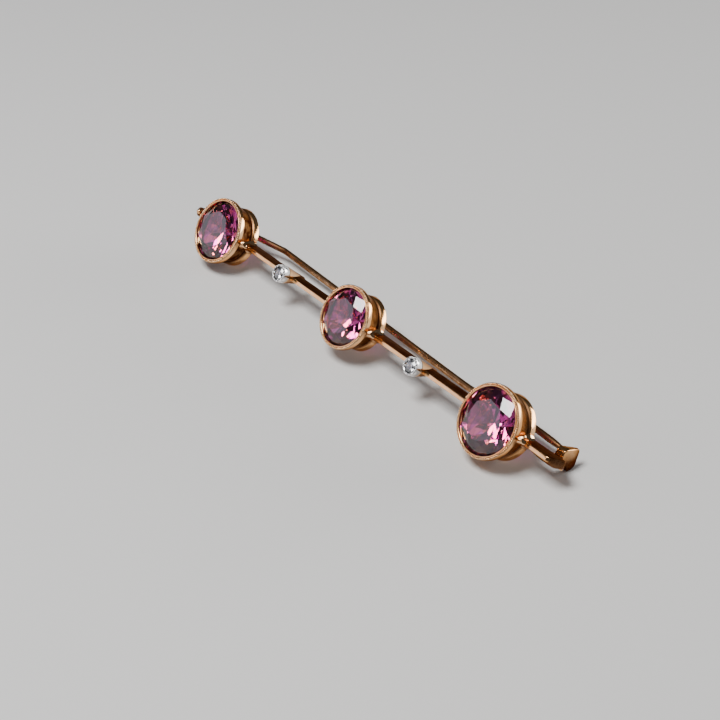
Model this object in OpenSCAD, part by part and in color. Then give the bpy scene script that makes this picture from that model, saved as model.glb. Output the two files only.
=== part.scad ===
// Bar brooch: a knife-edge gold bar with three round faceted stones in
// milgrained collets and two small brilliants between them. It lies with
// the backs of its outer collets and the floor of its catch on the surface,
// so its face looks forward and up.
// Millimetres. The brooch is drawn face up (x along the bar, y across it,
// z out of the stones, z = 0 at the bar's front edge) and then leaned back.

/* [Large stones] */
// Half of the distance between the two outer stones
stone_pitch = 22.95; // [21.5:0.05:26]
// Diameter of the two outer stones
stone_d = 6.72; // [6.2:0.02:7.2]
// Diameter of the middle stone
middle_stone_d = 6.14; // [5.9:0.02:7.2]
// How far the middle stone sits to the right of halfway
middle_shift = 0.34; // [0:0.02:0.5]
// How far the middle stone sits above the bar's middle plane
middle_rise = 0.24; // [0:0.02:0.4]
// Height of a large stone above its girdle
crown_h = 0.80; // [0.6:0.02:1.0]
// Thickness of a large stone's girdle
girdle_t = 0.10; // [0.06:0.01:0.16]
// Depth of a large stone below its girdle
pavilion_h = 2.75; // [2.3:0.05:2.9]
// Width of the table as a share of the stone
table_share = 0.62; // [0.5:0.01:0.68]

/* [Large collets] */
// Wall of the bezel around a large stone
bezel_wall = 0.34; // [0.28:0.01:0.45]
// Height of the collet's rim above the bar's front edge
rim_up = 1.49; // [1.3:0.01:1.7]
// Height of the straight band below the rim
band_h = 0.62; // [0.45:0.01:0.8]
// Outer diameter of the gallery ring behind each outer stone
gallery_d = 6.62; // [6.1:0.02:6.9]
// Outer diameter of the gallery ring behind the middle stone
middle_gallery_d = 5.96; // [5.7:0.02:6.3]
// Distance from the bar's front edge to the back of the gallery ring
gallery_down = 1.86; // [1.6:0.01:2.0]
// Width of the gallery ring's section
gallery_w = 0.66; // [0.5:0.01:0.8]
// Height of the gallery ring's section
gallery_h = 0.76; // [0.6:0.01:0.85]

/* [Small stones] */
// Distance from halfway between the outer stones to the left brilliant
diamond_left_x = 11.42; // [10.5:0.05:12.5]
// Distance from halfway between the outer stones to the right brilliant
diamond_right_x = 11.10; // [10.5:0.05:12.5]
// Diameter of a brilliant
diamond_d = 1.52; // [1.3:0.02:1.8]
// Depth of a brilliant from table to point
diamond_h = 0.90; // [0.75:0.01:1.0]

/* [Small collets] */
// Wall of a white metal collet around its brilliant
cup_wall = 0.21; // [0.14:0.01:0.28]
// Height of a white metal collet
cup_h = 0.82; // [0.78:0.01:1.0]
// Height of its rim above the bar's front edge
cup_up = 1.20; // [1.1:0.01:1.4]
// Diameter of the back end of the gold cone behind it
cone_back_d = 0.84; // [0.6:0.02:1.1]
// Distance from the bar's front edge to the back of the cone
cone_down = 2.62; // [2.2:0.02:3.0]

/* [Bar] */
// Width of the bar's flat front edge
bar_front = 0.40; // [0.3:0.01:0.6]
// Width of the bar's back
bar_back = 0.96; // [0.7:0.02:1.2]
// Depth of the bar from front to back
bar_depth = 1.78; // [1.5:0.02:2.0]
// Reach of the bar past the left stone, to the pin's pivot
left_reach = 5.75; // [5.2:0.05:7]
// Reach of the bar's front edge past the right stone
right_reach = 7.00; // [6.6:0.05:9]
// How much further the bar's back corner reaches than its front
end_slant = 1.00; // [0.6:0.05:1.4]
// Width of the leaf-shaped thickening at the bar's right end
leaf_w = 1.08; // [0.98:0.02:1.3]

/* [Catch] */
// Distance from the bar's front end back to the hood's rounded right face
catch_inset = 0.60; // [0.4:0.02:0.9]
// Length of the hood's front wall along the bar
hood_l = 1.20; // [1.1:0.05:1.6]
// Distance from the bar's front edge to the hood's front wall
hood_near = 3.20; // [3:0.02:3.6]
// Depth of the hood's roof from front to back
hood_depth = 2.20; // [2:0.02:2.5]
// Height of the roof's front above the bar's middle plane
hood_up = 1.04; // [0.95:0.01:1.3]
// Rise of the roof towards the back
roof_rise = 0.42; // [0.2:0.01:0.6]
// Radius of the hood's rounded right face
dome_r = 4.00; // [3.5:0.05:6]
// Thickness of the hood's walls
strip_t = 0.22; // [0.18:0.01:0.3]
// Distance from the bar's front edge to the end of the hood's floor
lip_near = 4.98; // [4.8:0.02:5.3]
// Depth of that end below the bar's middle plane
lip_down = 1.04; // [0.9:0.01:1.2]
// Length of the hood's floor
lip_l = 0.94; // [0.7:0.02:1.2]

/* [Pin] */
// Diameter of the pin's stem
stem_d = 0.68; // [0.55:0.01:0.75]
// Length of the pin's tapered point
point_l = 2.60; // [1.5:0.1:4]
// Diameter of the point's very end
point_d = 0.16; // [0.1:0.01:0.25]
// Upward bow of the stem behind the left stone
bow_up = 1.03; // [0.5:0.01:1.2]
// Backward bow of the stem
bow_back = 0.76; // [0.4:0.01:1]
// Height of the pin's pivot above the bar's middle plane
pivot_up = 0.26; // [0:0.02:0.3]
// Diameter of the post that turns in the bar's end
post_d = 0.50; // [0.4:0.01:0.56]
// Diameter of the post's domed head
head_d = 0.62; // [0.6:0.01:0.7]
// Diameter of the shoulder behind the bar's end
shoulder_d = 0.92; // [0.7:0.02:1]
// Diameter of the bar's round end that the post turns in
boss_d = 1.05; // [0.95:0.01:1.2]

/* [Clearances] */
// Gap between a stone and its metal
stone_gap = 0.03; // [0.02:0.005:0.06]
// Gap around and at the ends of the pin's post
post_gap = 0.03; // [0.02:0.005:0.05]
// Gap between the pin and the hood as the pin swings out
pass_gap = 0.10; // [0.08:0.01:0.2]

/* [Hidden] */
$fn = 64;

// Rounding of the collets' visible edges
edge = 0.08;
// Outer radius of a collet around a stone of diameter d
function collet_r(d) = d / 2 + bezel_wall;
// Height of the girdle's upper edge
girdle_up = rim_up - 0.31;
// Where a bar ends inside a gallery ring of diameter g
function bar_seat(g) = g / 2 - 0.38;

// Ends of the bar
pivot_x = -(stone_pitch + left_reach);
end_x = stone_pitch + right_reach;
end_back_x = end_x + end_slant;
// The pivot's boss starts a little behind the bar's front edge
boss_up = -0.04;

// Resting pose: the lowest edge of the outer gallery rings and the hood's
// floor both lie on the surface. Each place is [height, distance out]
rest_a = [-gallery_d / 2, edge - gallery_down];
rest_b = [-lip_down, -lip_near];
lean = atan2(rest_b[0] - rest_a[0], rest_a[1] - rest_b[1]);
lift = -rest_a[1] * sin(lean) - rest_a[0] * cos(lean);

// Hood: its right face, its left side in front and behind, and the
// outline of its walls' outer side, from the front wall over the roof
hood_x = end_x - catch_inset;
hood_left = hood_x - hood_l;
hood_back = hood_near + hood_depth;
heel = [lip_l * sin(lean) - lip_down, -lip_near - lip_l * cos(lean)];
roof = [[0, -hood_near], [hood_up, -hood_near], [hood_up + roof_rise, -hood_back],
        heel, rest_b];
// Roundings of the outline's three corners
roof_rounds = [0.45, 0.30, 0.60];

// Where the pin lies in the hood
pin_down = lip_near - strip_t * sin(lean) - stem_d / 2 - pass_gap;
pin_up = hood_up + roof_rise * (pin_down - hood_near) / hood_depth - strip_t - stem_d / 2 - 0.04;
pin_x = hood_x - 0.60;
// The stem's corners: behind the shoulder, past the left collet where it
// turns along the bar, before the right collet and behind it; each a share
// of the way from the pivot to the tip, of the upward bow and of the
// backward bow
turns = [[0.176, 1.00, 1.00],
         [0.745, 0.21, 0.78],
         [0.912, 0.76, 0.30]];
shoulder_up = -bar_depth - post_gap;
shoulder_h = 0.22;
heel_r = 0.50;
stem = concat([[pivot_x, pivot_up, shoulder_up - shoulder_h / 2],
               [pivot_x, pivot_up, shoulder_up - shoulder_h - 0.8 * heel_r]],
              [for (b = turns) [pivot_x + b[0] * (pin_x - pivot_x), b[1] * bow_up,
                                -pin_down - b[2] * bow_back]],
              [[pin_x, pin_up, -pin_down]]);
// Each corner of the stem: radius of the wire's middle line, and steps
stem_rounds = [[heel_r, 6], [3, 4], [30, 2], [20, 2]];

// Outline of the whole, for an origin under its middle
x_low = pivot_x - boss_d / 2;
x_mid = (x_low + end_back_x) / 2;
y_low = -rim_up * cos(lean) - (collet_r(stone_d) - edge) * sin(lean);
y_high = max([for (q = shrunk(0)) q[0] * sin(lean) - q[1] * cos(lean)]);
y_mid = (y_low + y_high) / 2;

module posed() {
  translate([-x_mid, -y_mid, lift])
    rotate([90 - lean, 0, 0])
      children();
}

// A section drawn across the bar (y, z), run along x from x1 to x2
module along(x1, x2) {
  translate([x1, 0, 0])
    rotate([90, 0, 90])
      linear_extrude(height = x2 - x1)
        children();
}

// An outline seen from above the bar's edge (x, z), run across y
module across(y1, y2) {
  translate([0, y2, 0])
    rotate([90, 0, 0])
      linear_extrude(height = y2 - y1)
        children();
}

function unit(v) = v / norm(v);

// Sections of a wire that turns at b on its way from a to c: its middle
// line follows a round of radius r, in n steps. Each is [place, way]
function turned(a, b, c, r, n) =
  let (u = unit(b - a), v = unit(c - b), angle = acos(u * v),
       inward = unit(v - u * (u * v)),
       centre = b - u * r * tan(angle / 2) + inward * r)
  [for (k = [0:n])
     let (f = angle * k / n)
     [centre + r * (u * sin(f) - inward * cos(f)), u * cos(f) + inward * sin(f)]];

// A round wire through sections [place, way, radius], with m sides
module wire(sections, m) {
  n = len(sections);
  pts = [for (s = sections)
           let (side = unit(cross(s[1], [0, 1, 0])), up = cross(side, s[1]))
           for (k = [0:m - 1])
             s[0] + s[2] * (side * cos(360 * k / m) + up * sin(360 * k / m))];
  walls = [for (j = [0:n - 2])
             for (k = [0:m - 1])
               let (p = j * m + k, q = j * m + (k + 1) % m)
               each [[p, q, q + m], [p, q + m, p + m]]];
  polyhedron(points = pts, convexity = 4,
             faces = concat(walls, [[for (k = [m - 1:-1:0]) k]],
                            [[for (k = [0:m - 1]) (n - 1) * m + k]]));
}

// Knife-edge bar from x1 to x2: narrow in front, wider behind
module bar(x1, x2) {
  along(x1, x2)
    polygon([[-bar_front / 2, 0], [bar_front / 2, 0],
             [bar_back / 2, 0.1 - bar_depth], [bar_back / 2 - 0.1, -bar_depth],
             [0.1 - bar_back / 2, -bar_depth], [-bar_back / 2, 0.1 - bar_depth]]);
}

// Collet of a large stone of diameter d on a gallery ring of diameter g:
// a straight band that grips the stone, a tapered wall, a groove and
// the ring behind
module collet(d, g) {
  r = collet_r(d);
  s = d / 2 + stone_gap;
  q = g / 2;
  low = rim_up - band_h;
  top = gallery_h - gallery_down;
  grip = girdle_up + 0.04;
  // Depth of the seat under the girdle, along the stone's slope
  slope = pavilion_h / (d / 2);
  seat = girdle_up - girdle_t - stone_gap;
  rotate_extrude($fn = 96)
    polygon([[r - edge, rim_up], [r, rim_up - edge], [r, low], [r - 0.1, low - 0.07],
             [q - 0.24, top + 0.2], [q - 0.3, top + 0.08], [q - 0.18, top],
             [q - 0.07, top - 0.1], [q, edge - gallery_down],
             [q - edge, -gallery_down], [q - gallery_w + edge, -gallery_down],
             [q - gallery_w, edge - gallery_down],
             [q - gallery_w - 0.03, top + 0.1],
             [s - 0.42, 0.6], [s - 0.3, seat - 0.3 * slope],
             [s, seat], [s, grip], [s - 0.08, grip + 0.07],
             [s - 0.08, rim_up - edge], [s, rim_up]]);
}

// Solder where the bar runs into the collet: a web up to the band in
// front, and a flare to the ring behind
module solder(d, g, side) {
  r = collet_r(d);
  b = bar_seat(g);
  mirror([side < 0 ? 1 : 0, 0, 0]) {
    across(-0.21, 0.21)
      polygon([[b, -0.4], [r + 0.2, -0.4], [r + 0.14, 0],
               [r - 0.08, rim_up - band_h - 0.1], [r - 0.3, rim_up - band_h - 0.1],
               [b + 0.1, 0]]);
    translate([0, 0, edge - gallery_down])
      linear_extrude(height = gallery_h - 2 * edge)
        polygon([[b, -0.95], [b, 0.95], [r + 0.1, bar_back / 2 - 0.03],
                 [r + 0.1, 0.03 - bar_back / 2]]);
  }
}

// Gold cone behind a brilliant
module cone(x) {
  top = cup_up - cup_h - stone_gap;
  translate([x, 0, -cone_down])
    cylinder(h = top + cone_down, d1 = cone_back_d,
             d2 = diamond_d + 2 * cup_wall - 0.06, $fn = 48);
}

// The bar's right end: cut off on a slant and thickened to a leaf shape
module bar_end() {
  bulge = leaf_w - bar_back / 2;
  intersection() {
    along(end_x - right_reach + bar_seat(gallery_d), end_back_x) {
      polygon([[-bar_front / 2, 0], [bar_front / 2, 0],
               [bar_back / 2, 0.1 - bar_depth], [bar_back / 2 - 0.1, -bar_depth],
               [0.1 - bar_back / 2, -bar_depth], [-bar_back / 2, 0.1 - bar_depth]]);
    }
    across(-leaf_w, leaf_w)
      polygon([[0, 0.1], [end_x, 0.1], [end_x, 0], [end_back_x, -bar_depth],
               [end_back_x, -bar_depth - 0.1], [0, -bar_depth - 0.1]]);
  }
  intersection() {
    along(end_x - 2, end_back_x)
      polygon([[-bar_front / 2, 0], [bar_front / 2, 0], [bar_back / 2, -0.3 * bar_depth],
               [bar_back / 2, 0.1 - bar_depth], [bar_back / 2 - 0.1, -bar_depth],
               [0.1 - bar_back / 2, -bar_depth], [-bulge, -0.55 * bar_depth],
               [-0.75 * bulge, -0.2 * bar_depth]]);
    across(-leaf_w, leaf_w)
      polygon([[end_x - 0.35, 0], [end_x, 0], [end_back_x, -bar_depth],
               [end_back_x - 1.9, -bar_depth]]);
  }
}

// The hood's outline with its corners rounded and moved inwards by t
function shrunk(t) =
  let (p = [for (q = roof) [0, q[0], q[1]]])
  concat([[roof[0][0], roof[0][1] - t]],
         [for (k = [1:3])
            for (s = turned(p[k - 1], p[k], p[k + 1], roof_rounds[k - 1], 5))
              let (side = cross(s[1], [1, 0, 0]))
              [s[0][1] - t * side[1], s[0][2] - t * side[2]]],
         [[roof[4][0] + t * cos(lean), roof[4][1] + t * sin(lean)]]);

// Catch: a hood over the pin's point, with a rounded right face, open to
// the left and between its front wall and its floor
module catch() {
  inner = shrunk(strip_t);
  intersection() {
    difference() {
      along(hood_left, hood_x + 0.1)
        polygon(shrunk(0));
      along(hood_left - 1, hood_x - 0.48)
        polygon(concat([[-2 * lip_down, inner[0][1]]], inner,
                       [[-2 * lip_down, inner[len(inner) - 1][1]]]));
    }
    // The left side runs to the right on its way back
    across(-2 * lip_down, 2 * hood_up)
      polygon([[hood_left, 0.2 - hood_near], [hood_x + 0.2, 0.2 - hood_near],
               [hood_x + 0.2, -hood_back - 1], [hood_x - 0.65, -hood_back - 1],
               [hood_x - 0.65, -hood_back + 0.1], [hood_left, -hood_near - strip_t - 0.2]]);
    translate([hood_x - dome_r, (hood_up - lip_down) / 2 + 0.1, -(hood_near + hood_back) / 2])
      sphere(r = dome_r, $fn = 96);
  }
  // Foot that carries the hood back from the bar
  across(-0.52, 0.30)
    polygon([[hood_left + 0.1, 0.15 - bar_depth], [end_back_x - 0.2, 0.15 - bar_depth],
             [end_back_x - 0.12, -0.02 - bar_depth],
             [hood_x - 0.30, -hood_near - strip_t / 2],
             [hood_left + 0.1, -hood_near - strip_t / 2]]);
}

module gold_frame() {
  color("goldenrod") posed() difference() {
    union() {
      bar(pivot_x, bar_seat(gallery_d) * -1 - stone_pitch);
      bar(bar_seat(gallery_d) - stone_pitch, middle_shift - bar_seat(middle_gallery_d));
      bar(middle_shift + bar_seat(middle_gallery_d), stone_pitch - bar_seat(gallery_d));
      bar_end();
      for (side = [-1, 1]) {
        translate([side * stone_pitch, 0, 0]) {
          collet(stone_d, gallery_d);
          solder(stone_d, gallery_d, 1);
          solder(stone_d, gallery_d, -1);
        }
        translate([middle_shift, 0, 0])
          solder(middle_stone_d, middle_gallery_d, side);
      }
      translate([middle_shift, middle_rise, 0])
        collet(middle_stone_d, middle_gallery_d);
      cone(-diamond_left_x);
      cone(diamond_right_x);
      translate([pivot_x, pivot_up, -bar_depth])
        cylinder(h = bar_depth + boss_up, d = boss_d, $fn = 48);
      catch();
    }
    // Bore for the pin's post, and the bar's front edge cut back to let
    // the head turn
    translate([pivot_x, pivot_up, -bar_depth - 1])
      cylinder(h = bar_depth + 2, d = post_d + 2 * post_gap, $fn = 48);
    translate([pivot_x, pivot_up, boss_up])
      cylinder(h = 1, d = boss_d + 0.01, $fn = 48);
  }
}

// A cut stone face up, its girdle's upper edge at z = 0: a table, eight
// star, eight kite and sixteen girdle facets above, and sixteen girdle
// facets and eight mains below
module gem(d, crown, girdle, pavilion, table) {
  r = d / 2;
  t = table * r;
  s = (t + 0.42 * (r - t)) / cos(22.5);
  p = 0.42 * r;
  star_z = crown * (r - s * cos(22.5)) / (r - t);
  low_z = -girdle - pavilion * (r - p * cos(22.5)) / r;
  pts = concat(
    [for (k = [0:7]) [t * cos(45 * k), t * sin(45 * k), crown]],
    [for (k = [0:7]) [s * cos(45 * k + 22.5), s * sin(45 * k + 22.5), star_z]],
    [for (k = [0:15]) [r * cos(22.5 * k), r * sin(22.5 * k), 0]],
    [for (k = [0:15]) [r * cos(22.5 * k), r * sin(22.5 * k), -girdle]],
    [for (k = [0:7]) [p * cos(45 * k + 22.5), p * sin(45 * k + 22.5), low_z]],
    [[0, 0, -girdle - pavilion]]);
  faces = concat(
    [[7, 6, 5, 4, 3, 2, 1, 0]],
    [for (k = [0:7]) [(k + 1) % 8, 8 + k, k]],
    [for (k = [0:7]) [8 + k, 16 + 2 * k, 8 + (k + 7) % 8, k]],
    [for (k = [0:7]) [17 + 2 * k, 16 + 2 * k, 8 + k]],
    [for (k = [0:7]) [16 + (2 * k + 2) % 16, 17 + 2 * k, 8 + k]],
    [for (k = [0:15]) [16 + (k + 1) % 16, 32 + (k + 1) % 16, 32 + k, 16 + k]],
    [for (k = [0:7]) [32 + 2 * k, 33 + 2 * k, 48 + k]],
    [for (k = [0:7]) [33 + 2 * k, 32 + (2 * k + 2) % 16, 48 + k]],
    [for (k = [0:7]) [48 + (k + 7) % 8, 32 + 2 * k, 48 + k, 56]]);
  polyhedron(points = pts, faces = faces, convexity = 2);
}

module large_stone(x, y, d) {
  posed() translate([x, y, girdle_up])
    rotate([0, 0, 11])
      gem(d, crown_h, girdle_t, pavilion_h * d / stone_d, table_share);
}

module stone_left() {
  color("orchid") large_stone(-stone_pitch, 0, stone_d);
}

module stone_middle() {
  color("orchid") large_stone(middle_shift, middle_rise, middle_stone_d);
}

module stone_right() {
  color("orchid") large_stone(stone_pitch, 0, stone_d);
}

// White metal collet of a brilliant: a cup with a sloping seat
module cup(x) {
  r = diamond_d / 2;
  s = r + stone_gap;
  g = cup_up - 0.16;
  f = 0.28;
  posed() translate([x, 0, 0])
    rotate_extrude($fn = 64)
      polygon([[f, cup_up - cup_h], [r + cup_wall - 0.03, cup_up - cup_h],
               [r + cup_wall, cup_up - cup_h + 0.05], [r + cup_wall, cup_up - 0.05],
               [r + cup_wall - 0.05, cup_up], [s, cup_up],
               [s - 0.05, cup_up - 0.04], [s - 0.05, g + 0.07], [s, g + 0.03],
               [s, g - 0.05 - stone_gap], [f, cup_up - cup_h + 0.12]]);
}

module diamond_collet_left() {
  color("gainsboro") cup(-diamond_left_x);
}

module diamond_collet_right() {
  color("gainsboro") cup(diamond_right_x);
}

module brilliant(x) {
  posed() translate([x, 0, cup_up - 0.16])
    gem(diamond_d, 0.25 * diamond_h, 0.05 * diamond_h, 0.6 * diamond_h, 0.56);
}

module diamond_left() {
  color("white") brilliant(-diamond_left_x);
}

module diamond_right() {
  color("white") brilliant(diamond_right_x);
}

// Pin: a post that turns in the bar's end, with a domed head in front, a
// shoulder behind, and a bowed stem that runs to the catch
module pin() {
  head_z = boss_up + post_gap;
  w = stem_d / 2;
  last = len(stem) - 1;
  tip_way = unit(stem[last] - stem[last - 1]);
  color("darkgoldenrod") posed() {
    translate([pivot_x, pivot_up, shoulder_up - shoulder_h / 2])
      cylinder(h = head_z + 0.05 - shoulder_up + shoulder_h / 2, d = post_d, $fn = 48);
    intersection() {
      translate([pivot_x, pivot_up, head_z + 0.02])
        sphere(d = head_d, $fn = 48);
      translate([pivot_x, pivot_up, head_z])
        cylinder(h = head_d, d = 2 * head_d, $fn = 48);
    }
    translate([pivot_x, pivot_up, shoulder_up - shoulder_h])
      cylinder(h = shoulder_h, d = shoulder_d, $fn = 48);
    wire(concat([[stem[0], [0, 0, -1], w]],
                [for (k = [1:last - 1])
                   for (s = turned(stem[k - 1], stem[k], stem[k + 1],
                                   stem_rounds[k - 1][0], stem_rounds[k - 1][1]))
                     [s[0], s[1], w]],
                [[stem[last] - tip_way * point_l, tip_way, w],
                 [stem[last] - tip_way * point_d / 2, tip_way, point_d / 2],
                 [stem[last], tip_way, point_d / 5]]),
         24);
  }
}

gold_frame();
stone_left();
stone_middle();
stone_right();
diamond_collet_left();
diamond_collet_right();
diamond_left();
diamond_right();
pin();
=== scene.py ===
"""Bar brooch: gold bar, three pink stones in milgrained collets, two
brilliants in white metal, a hooded catch and a swinging pin."""

import math

import bmesh
import bpy
from bpy.props import FloatProperty, FloatVectorProperty, IntProperty, PointerProperty
from bpy.types import Operator, Panel, PropertyGroup
from mathutils import Matrix, Vector


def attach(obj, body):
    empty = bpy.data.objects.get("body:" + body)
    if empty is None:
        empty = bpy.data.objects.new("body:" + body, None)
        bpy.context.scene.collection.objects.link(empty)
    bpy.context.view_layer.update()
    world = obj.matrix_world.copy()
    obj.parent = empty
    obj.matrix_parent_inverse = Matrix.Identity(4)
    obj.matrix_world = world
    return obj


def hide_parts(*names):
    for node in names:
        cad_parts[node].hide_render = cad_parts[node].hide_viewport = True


bl_info = {
    "name": "Bar brooch",
    "version": (1, 0, 0),
    "blender": (4, 5, 0),
    "location": "View3D > Sidebar > Brooch",
    "description": "Builds a gold bar brooch with faceted stones, milgrain, catch and pin",
    "category": "Object",
}

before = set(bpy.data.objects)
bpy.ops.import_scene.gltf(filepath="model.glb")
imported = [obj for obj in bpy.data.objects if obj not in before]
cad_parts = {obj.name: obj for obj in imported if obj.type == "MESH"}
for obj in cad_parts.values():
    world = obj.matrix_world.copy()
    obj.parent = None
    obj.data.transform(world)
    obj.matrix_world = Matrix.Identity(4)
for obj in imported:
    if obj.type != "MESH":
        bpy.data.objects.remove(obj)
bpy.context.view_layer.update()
MM = 0.001


def length(label, text, mm):
    """A size in metres, given in millimetres."""
    return FloatProperty(name=label, description=text, default=mm * MM, min=0.0,
                         unit="LENGTH", precision=5)


def tint(label, text, colour):
    """A linear colour."""
    return FloatVectorProperty(name=label, description=text, default=colour,
                               subtype="COLOR", size=3, min=0.0, max=1.0)


class BroochSizes(PropertyGroup):
    """Sizes of the brooch: those of its solids, and the milgrain's beads."""

    stone_pitch: length("Stone pitch", "Half of the way between the outer stones", 22.95)
    stone_d: length("Outer stones", "Diameter of the two outer stones", 6.72)
    middle_stone_d: length("Middle stone", "Diameter of the middle stone", 6.14)
    middle_shift: length("Middle shift", "Middle stone to the right of halfway", 0.34)
    middle_rise: length("Middle rise", "Middle stone above the bar's middle", 0.24)
    bezel_wall: length("Bezel wall", "Wall of the bezel around a large stone", 0.34)
    rim_up: length("Rim height", "Collet's rim above the bar's front edge", 1.49)
    band_h: length("Band height", "Straight band below the rim", 0.62)
    gallery_d: length("Outer galleries", "Diameter of the outer gallery rings", 6.62)
    middle_gallery_d: length("Middle gallery", "Diameter of the middle gallery ring", 5.96)
    gallery_down: length("Gallery depth", "Bar's front edge to the gallery's back", 1.86)
    gallery_w: length("Gallery width", "Width of the gallery ring's section", 0.66)
    gallery_h: length("Gallery height", "Height of the gallery ring's section", 0.76)
    pavilion_h: length("Pavilion", "Depth of a large stone below its girdle", 2.75)
    girdle_t: length("Girdle", "Thickness of a large stone's girdle", 0.10)
    stone_gap: length("Stone gap", "Gap between a stone and its metal", 0.03)
    bead_d: length("Milgrain bead", "Diameter of a bead on the large rims", 0.20)
    small_bead_d: length("Small bead", "Diameter of a bead on the small rims", 0.16)
    diamond_left_x: length("Left brilliant", "Halfway to the left brilliant", 11.42)
    diamond_right_x: length("Right brilliant", "Halfway to the right brilliant", 11.10)
    diamond_d: length("Brilliant", "Diameter of a brilliant", 1.52)
    cup_wall: length("Cup wall", "Wall of a white metal collet", 0.21)
    cup_h: length("Cup height", "Height of a white metal collet", 0.82)
    cup_up: length("Cup rim", "White rim above the bar's front edge", 1.20)
    cone_back_d: length("Cone back", "Diameter of the cone's back end", 0.84)
    cone_down: length("Cone depth", "Bar's front edge to the cone's back", 2.62)
    bar_front: length("Bar front", "Width of the bar's flat front edge", 0.40)
    bar_back: length("Bar back", "Width of the bar's back", 0.96)
    bar_depth: length("Bar depth", "Bar's depth from front to back", 1.78)
    left_reach: length("Left reach", "Bar past the left stone, to the pivot", 5.75)
    right_reach: length("Right reach", "Bar's front edge past the right stone", 7.00)
    end_slant: length("End slant", "Extra reach of the bar's back corner", 1.00)
    leaf_w: length("Leaf width", "Width of the leaf-shaped end", 1.08)
    catch_inset: length("Catch inset", "Bar's front end to the hood's face", 0.60)
    hood_l: length("Hood length", "Hood's front wall along the bar", 1.20)
    hood_near: length("Hood distance", "Bar's front edge to the hood", 3.20)
    hood_depth: length("Hood depth", "Depth of the hood's roof", 2.20)
    hood_up: length("Hood height", "Front of the roof over the bar's middle", 1.04)
    roof_rise: length("Roof rise", "Rise of the roof towards the back", 0.42)
    dome_r: length("Dome radius", "Radius of the hood's rounded face", 4.00)
    strip_t: length("Hood wall", "Thickness of the hood's walls", 0.22)
    lip_near: length("Floor distance", "Bar's front edge to the hood's floor", 4.98)
    lip_down: length("Floor depth", "End of the floor below the bar's middle", 1.04)
    lip_l: length("Floor length", "Length of the hood's floor", 0.94)
    stem_d: length("Pin stem", "Diameter of the pin's stem", 0.68)
    point_l: length("Pin point", "Length of the pin's tapered point", 2.60)
    point_d: length("Pin tip", "Diameter of the point's very end", 0.16)
    bow_up: length("Pin bow", "Upward bow of the stem", 1.03)
    bow_back: length("Pin backward bow", "Backward bow of the stem", 0.76)
    pivot_up: length("Pivot height", "Pin's pivot over the bar's middle", 0.26)
    post_d: length("Post", "Diameter of the pin's post", 0.50)
    head_d: length("Head", "Diameter of the post's domed head", 0.62)
    shoulder_d: length("Shoulder", "Diameter of the pin's shoulder", 0.92)
    boss_d: length("Boss", "Diameter of the bar's round end", 1.05)
    round_steps: IntProperty(name="Steps round a collet", default=144, min=24, max=256,
                             description="Segments of each turned piece")


class BroochColours(PropertyGroup):
    """Colours of the brooch's metals and stones."""

    gold: tint("Gold", "Polished gold", (0.88, 0.46, 0.19))
    # Rubbed gold: random worn patches, and the lighter gold painted as highlight where a piece is
    # made lighter
    gold_worn_and_highlight: tint("Rubbed gold", "Gold on edges and worn places", (0.98, 0.65, 0.38))
    # Dark gold: random matt patches, and the painted shade in grooves, recesses and on shaded
    # sides
    gold_dark: tint("Dark gold", "Tarnish in grooves", (0.060, 0.015, 0.006))
    white: tint("White metal", "Collets of the brilliants", (0.94, 0.93, 0.92))
    stone: tint("Pink stone", "Body colour of the large stones", (0.56, 0.060, 0.34))
    # Deep pink: soft zones of stronger colour, and deeper cells painted as dark facet reflections
    stone_deep: tint("Deep pink", "Zones of stronger colour", (0.22, 0.006, 0.062))
    floor: tint("Floor", "Pale studio floor", (0.80, 0.79, 0.77))


def corner_sections(a, b, c, r, steps):
    """Places and ways of a wire's middle line as it turns at b."""
    u, v = (b - a).normalized(), (c - b).normalized()
    angle = u.angle(v)
    inward = (v - u * u.dot(v)).normalized()
    centre = b - u * (r * math.tan(angle / 2)) + inward * r
    for k in range(steps + 1):
        t = angle * k / steps
        yield (centre + (u * math.sin(t) - inward * math.cos(t)) * r,
               u * math.cos(t) + inward * math.sin(t))


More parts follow.
